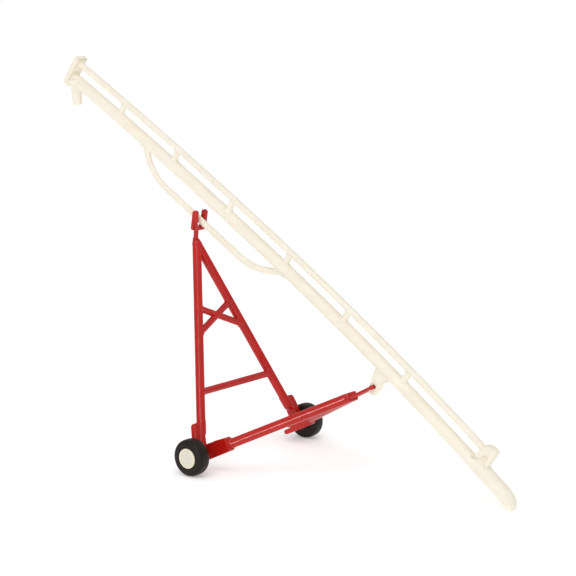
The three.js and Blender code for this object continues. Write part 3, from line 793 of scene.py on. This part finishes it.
# Section of the apex cap: height over the legs' meeting point, half width across, half depth.
CAP = ((-5.0, 1.6, 0.5), (-4.0, 2.6, 1.2), (-2.8, 2.75, 1.6), (-1.4, 2.45, 1.78), (-0.3, 2.15, 1.8),
       (0.8, 1.55, 1.62), (1.6, 1.15, 1.25), (2.4, 0.95, 0.95))


def smooth_through(x, at, values):
    """A smooth curve near the given values: linear between them, then averaged over a short run."""
    line = np.interp(x, at, values)
    run = np.ones(7) / 7
    return np.convolve(np.pad(line, 3, mode="edge"), run, mode="valid")


class AUGER_OT_fork(bpy.types.Operator):
    """Apex gusset, thin neck and the two-eared fork that holds the rail"""
    bl_idname = "auger.fork"
    bl_label = "Apex and fork"

    def execute(self, context):
        size = context.scene.auger_sizes
        # The cap over the two legs narrows into the neck.
        z, across, deep = np.array(CAP).T
        up = np.linspace(z[0], z[-1], 60)
        spread = [smooth_through(up, z, v)[:, None] for v in (across, deep)]
        q = np.arange(64) / 64 * TAU
        rows = np.stack([spread[1] * np.cos(q), spread[0] * np.sin(q),
                         np.repeat(LEG_RISE + up[:, None], 64, 1)], -1)
        finish_piece(skin("apex_moulding", UPPER.out(rows)), "red_plastic", "a_frame", "frame_apex")
        neck = bar_rows(UPPER.out([0, 0, LEG_RISE + 1.4]), [NECK_TOP[0], 0, NECK_TOP[2] + 0.5],
                        0.97, along=50, around=40)
        neck = stand_out(neck, fillet(NECK_TOP[2] - neck[..., 2], 0.9))
        finish_piece(skin("neck_moulding", neck), "red_plastic", "a_frame", "fork_neck")
        # The slot for the rail is half an ellipse cut into the base's upper side.
        block = rounded([(-3.4, 0), (3.4, 0), (3.4, 2.4), (-3.4, 2.4)], [0.7, 0.7, 0.1, 0.1], 5)
        slot = quarter(0, 2.6, 1.75, 1.62, 0, -np.pi, 20)
        base = np.vstack([block[:-5], slot, [(-3.3, 2.4)]])
        finish_piece(skin("fork_base_moulding", plate(FORK, "yz", base, 1.17, 0.2), ends="face"),
                     "red_plastic", "a_frame", "fork_base")
        for name, side in SIDES:
            foot = rounded([(-1.2, 0), (-1.2, 3.0), (1.2, 3.0), (1.2, 0)], [0.9, 0, 0, 0.3], 5)
            ear = np.vstack([foot[:5], quarter(0, 6.7, 1.2, 1.2, np.pi, 0, 18), foot[-5:]])
            rows = plate(FORK, "xz", ear, 0.85, 0.45, side * 2.65)
            finish_piece(skin(f"ear_moulding_{name}", rows, ends="face"), "red_plastic", "a_frame",
                         f"fork_ear_{name}")
        return {"FINISHED"}


# ---------------------------------------------------------------- red lower frame
class AUGER_OT_hooks(bpy.types.Operator):
    """The two open hooks of the lower frame that snap over the axle stubs"""
    bl_idname = "auger.hooks"
    bl_label = "Hooks"

    def execute(self, context):
        outline = np.vstack([
            rounded([(-1.6, STUB_BORE), (-1.6, 3.05), (4.9, 2.74), (5.3, 2.87), (CLIP_END, 2.35),
                     (CLIP_END, -2.95), (-2.0, -2.9)], [0.3, 0.6, 0.2, 0.2, 0.8, 1.1, 0.1], 5)[:-3],
            quarter(-2.5, -1.925, 0.95, 0.975, -np.pi / 2, -1.5 * np.pi, 14),
            quarter(0, 0, STUB_BORE, STUB_BORE, -np.pi / 2, np.pi / 2, 14)])
        for name, side in SIDES:
            rows = plate(LOWER, "xz", outline, 1.65, 0.3, side * CLIP_Y)
            finish_piece(skin(f"{name}_hook_moulding", rows, ends="face"), "red_plastic",
                         "lower_frame", f"{name}_clip")
        return {"FINISHED"}


class AUGER_OT_bars(bpy.types.Operator):
    """The two bars of the lower frame, the block where they meet, its prongs and the pin"""
    bl_idname = "auger.bars"
    bl_label = "Bars, junction and prongs"

    def execute(self, context):
        size = context.scene.auger_sizes
        for name, side in SIDES:
            # Each bar runs from inside its hook to inside the junction.
            a, b = [9.6, side * (CLIP_Y - 0.1), -0.4], [53.2, side * 1.9, -0.2]
            rows = bar_rows(a, b, size.bar_radius, (0, 1.2), 140)
            gap = rows[..., 0] - CLIP_END
            rows = stand_out(rows, fillet(np.maximum(gap, 0), 0.7) * (gap > 0))
            finish_piece(skin(f"{name}_bar_moulding", LOWER.out(rows)), "red_plastic",
                         "lower_frame", f"{name}_bar")
            outline = np.vstack([
                [(JUNCTION_TO - 0.8, -1.08), (LOWER_REACH - 1.2, -0.6)],
                quarter(LOWER_REACH - 0.4, 0, 0.85, 0.85, -np.pi / 2, np.pi / 2, 24),
                [(LOWER_REACH - 1.2, 0.6), (JUNCTION_TO - 0.8, 0.12)]])
            rows = plate(LOWER, "xz", outline, 0.6, 0.28, side * 2.25)
            finish_piece(skin(f"{name}_prong_moulding", rows, ends="face"), "red_plastic",
                         "lower_frame", f"{name}_prong")
        outline = rounded([(51.2, -2.9), (JUNCTION_TO - 0.9, -3.1), (JUNCTION_TO, -2.0),
                           (JUNCTION_TO, 2.0), (JUNCTION_TO - 0.9, 3.1), (51.2, 2.9)],
                          [0.6, 0.6, 0.5, 0.5, 0.6, 0.6])
        rows = slab_rows(outline, 1.78, 0.6, middle=-0.22)
        finish_piece(skin("junction_moulding", LOWER.out(rows), ends="face"), "red_plastic",
                     "lower_frame", "bar_junction")
        pin = bar_rows([LOWER_REACH, -1.7, 0], [LOWER_REACH, 1.7, 0], 0.54, (0, 0), 30, 32)
        finish_piece(skin("pin_moulding", LOWER.out(pin)), "red_plastic", "lower_frame",
                     "pivot_pin")
        return {"FINISHED"}


# ---------------------------------------------------------------- wheels
class AUGER_OT_wheels(bpy.types.Operator):
    """The two wheels: a dark tyre round a domed cream hub"""
    bl_idname = "auger.wheels"
    bl_label = "Wheels"

    def execute(self, context):
        size = context.scene.auger_sizes
        R, r, half = size.tyre_radius, size.hub_radius, 2.9
        back = -half + 1.2
        for name, side in SIDES:
            # The tread is a superellipse: powers below 1 of sine and cosine square its shoulders.
            q = np.linspace(-np.pi / 2, np.pi / 2, 72)
            flank = np.sign(np.sin(q)) * np.abs(np.sin(q)) ** 0.58
            crown = np.abs(np.cos(q)) ** 0.52
            tread = np.column_stack([r + 0.35 + (R - r - 0.35) * crown, half * flank])
            inside = np.column_stack([np.linspace(STUB_BORE, r, 12), np.full(12, -half)])
            groove = np.clip((inside[:, 0] - 2.6) / 0.5, -0.5, 0.5)
            inside[:, 1] += 0.12 * np.cos(groove * np.pi) ** 2
            bead = np.vstack([[(STUB_BORE, back)], inside, tread,
                              [(r - 0.05, half - 0.35), (r - 0.05, back)]])
            tyre = turned_rows(bead, 128)
            rim = quarter(r - 0.38, half - 0.2, 0.38, 0.3, 0, np.pi, 12)
            face = np.column_stack([(r - 0.95) * np.linspace(1, 0.01, 14), np.zeros(14)])
            face[:, 1] = half - 0.22 + 0.12 * (face[:, 0] / (r - 0.95)) ** 2
            bore = [(0.93, BORE_END), (0.93, back + 0.05), (r - 0.1, back + 0.05)]
            hub = turned_rows(np.vstack([bore, rim, face]), 96)
            for label, rows, closed, slot in (("tyre", tyre, True, "tyre"),
                                              ("hub", hub, False, "hub_plastic")):
                x, y, z = np.moveaxis(rows, -1, 0)
                rows = np.stack([x + AXLE[0], side * (z + WHEEL_Y), y + AXLE[2]], -1)
                finish_piece(skin(f"{name}_{label}_moulding", rows, closed_run=closed), slot,
                             f"{name}_wheel", f"{name}_{label}")
        return {"FINISHED"}


# ---------------------------------------------------------------- stage
class AUGER_OT_stage(bpy.types.Operator):
    """Pale floor, soft light and the camera"""
    bl_idname = "auger.stage"
    bl_label = "Stage"

    def studio(self, scene):
        """A white backdrop that lights the object more from above than from the sides."""
        world = bpy.data.worlds.new("studio")
        world.use_nodes = True
        tree = world.node_tree
        tree.nodes.clear()

        def add(kind, **links):
            node = tree.nodes.new(kind)
            for socket, source in links.items():
                tree.links.new(source, node.inputs[socket])
            return node
        place = add("ShaderNodeTexCoord")
        split = add("ShaderNodeSeparateXYZ", Vector=place.outputs["Generated"])
        ramp = add("ShaderNodeValToRGB", Fac=split.outputs["Z"])
        for stop, level in zip(ramp.color_ramp.elements, SKY_LEVELS):
            stop.color = (level, level, level, 1)
        ramp.color_ramp.elements[1].position = SKY_FULL_AT
        light = add("ShaderNodeBackground", Color=ramp.outputs["Color"])
        backdrop = add("ShaderNodeBackground")
        backdrop.inputs["Color"].default_value = (1, 1, 1, 1)
        path = add("ShaderNodeLightPath")
        both = add("ShaderNodeMixShader", Fac=path.outputs["Is Camera Ray"])
        tree.links.new(light.outputs[0], both.inputs[1])
        tree.links.new(backdrop.outputs[0], both.inputs[2])
        end = add("ShaderNodeOutputWorld", Surface=both.outputs[0])
        end.is_active_output = True
        scene.world = world

    def execute(self, context):
        scene = context.scene
        edge = np.array([-FLOOR_HALF, FLOOR_HALF])
        x, y = np.meshgrid(edge, edge)
        mesh = bpy.data.meshes.new("floor")
        points = np.column_stack([x.ravel(), y.ravel(), np.full(4, -FLOOR_DROP)])
        mesh.from_pydata(points.tolist(), [], [(0, 1, 3, 2)])
        floor = bpy.data.objects.new("floor", mesh)
        scene.collection.objects.link(floor)
        book = Book("floor paint")
        tone = book.mix(book.noise(0.004, 3) * 0.3, (0.95, 0.95, 0.95), (0.93, 0.93, 0.93))
        mesh.materials.append(book.shade(Base_Color=tone, Roughness=0.8, Specular_IOR_Level=0.1,
                                         Emission_Color=(1, 1, 1, 1), Emission_Strength=0.28))
        self.studio(scene)
        scene.view_settings.view_transform = "Standard"
        sun = bpy.data.lights.new("overhead", "SUN")
        sun.angle, sun.energy = np.radians(35), 0.54
        strip = bpy.data.lights.new("strip", "AREA")
        strip.shape, strip.size, strip.size_y, strip.energy = "RECTANGLE", 0.05, 0.9, 1.4
        gleam = bpy.data.lights.new("gleam", "AREA")
        gleam.shape, gleam.size, gleam.size_y, gleam.energy = "RECTANGLE", 0.04, 0.9, 4.0
        fill = bpy.data.lights.new("fill", "AREA")
        fill.shape, fill.size, fill.energy = "DISK", 0.7, 0.2
        for light, at in ((sun, (0.25, -0.45, 1.0)), (strip, (0.21, -0.95, 0.35)),
                          (gleam, (0.25, -0.94, 0.35)), (fill, (0.9, -0.6, 0.5))):
            lamp = bpy.data.objects.new(light.name, light)
            scene.collection.objects.link(lamp)
            lamp.location = at
            # The gleam shows only as a reflection on the glossy pieces.
            lamp.visible_diffuse = light is not gleam
            lamp.rotation_mode = "QUATERNION"
            lamp.rotation_quaternion = (LIGHT_AIM - Vector(at)).to_track_quat("-Z", "Y")
        view = bpy.data.cameras.new("camera")
        camera = bpy.data.objects.new("camera", view)
        scene.collection.objects.link(camera)
        level = np.cos(CAMERA_ELEVATION)
        back = Vector((np.sin(CAMERA_AZIMUTH) * level, -np.cos(CAMERA_AZIMUTH) * level,
                       np.sin(CAMERA_ELEVATION)))
        camera.location = CAMERA_AIM + back * CAMERA_DISTANCE
        camera.rotation_mode = "QUATERNION"
        camera.rotation_quaternion = (-back).to_track_quat("-Z", "Y")
        view.sensor_width = SENSOR_WIDTH
        view.lens = SENSOR_WIDTH / 2 / np.tan(CAMERA_VIEW / 2)
        view.clip_start, view.clip_end = 0.01, 20
        scene.camera = camera
        return {"FINISHED"}


OPERATORS = (AUGER_OT_stage, AUGER_OT_tube, AUGER_OT_head, AUGER_OT_rod, AUGER_OT_box,
             AUGER_OT_rail, AUGER_OT_lug, AUGER_OT_legs, AUGER_OT_braces, AUGER_OT_fork,
             AUGER_OT_hooks, AUGER_OT_bars, AUGER_OT_wheels)


class AUGER_PT_panel(bpy.types.Panel):
    """Lists the auger's sizes, finishes and pieces"""
    bl_idname = "AUGER_PT_panel"
    bl_label = "Toy grain auger"
    bl_space_type = "VIEW_3D"
    bl_region_type = "UI"
    bl_category = "Auger"

    def draw(self, context):
        for group in (context.scene.auger_sizes, context.scene.auger_finish):
            column = self.layout.column()
            for key in group.__annotations__:
                column.prop(group, key)
        for operator in OPERATORS:
            self.layout.operator(operator.bl_idname)


CLASSES = (AugerFinish, AugerSizes, *OPERATORS, AUGER_PT_panel)


def register():
    for item in CLASSES:
        bpy.utils.register_class(item)
    bpy.types.Scene.auger_sizes = bpy.props.PointerProperty(type=AugerSizes)
    bpy.types.Scene.auger_finish = bpy.props.PointerProperty(type=AugerFinish)


def unregister():
    del bpy.types.Scene.auger_sizes, bpy.types.Scene.auger_finish
    for item in reversed(CLASSES):
        bpy.utils.unregister_class(item)


def main():
    register()
    for operator in OPERATORS:
        getattr(bpy.ops.auger, operator.bl_idname.split(".")[1])()


if __name__ == "__main__":
    main()
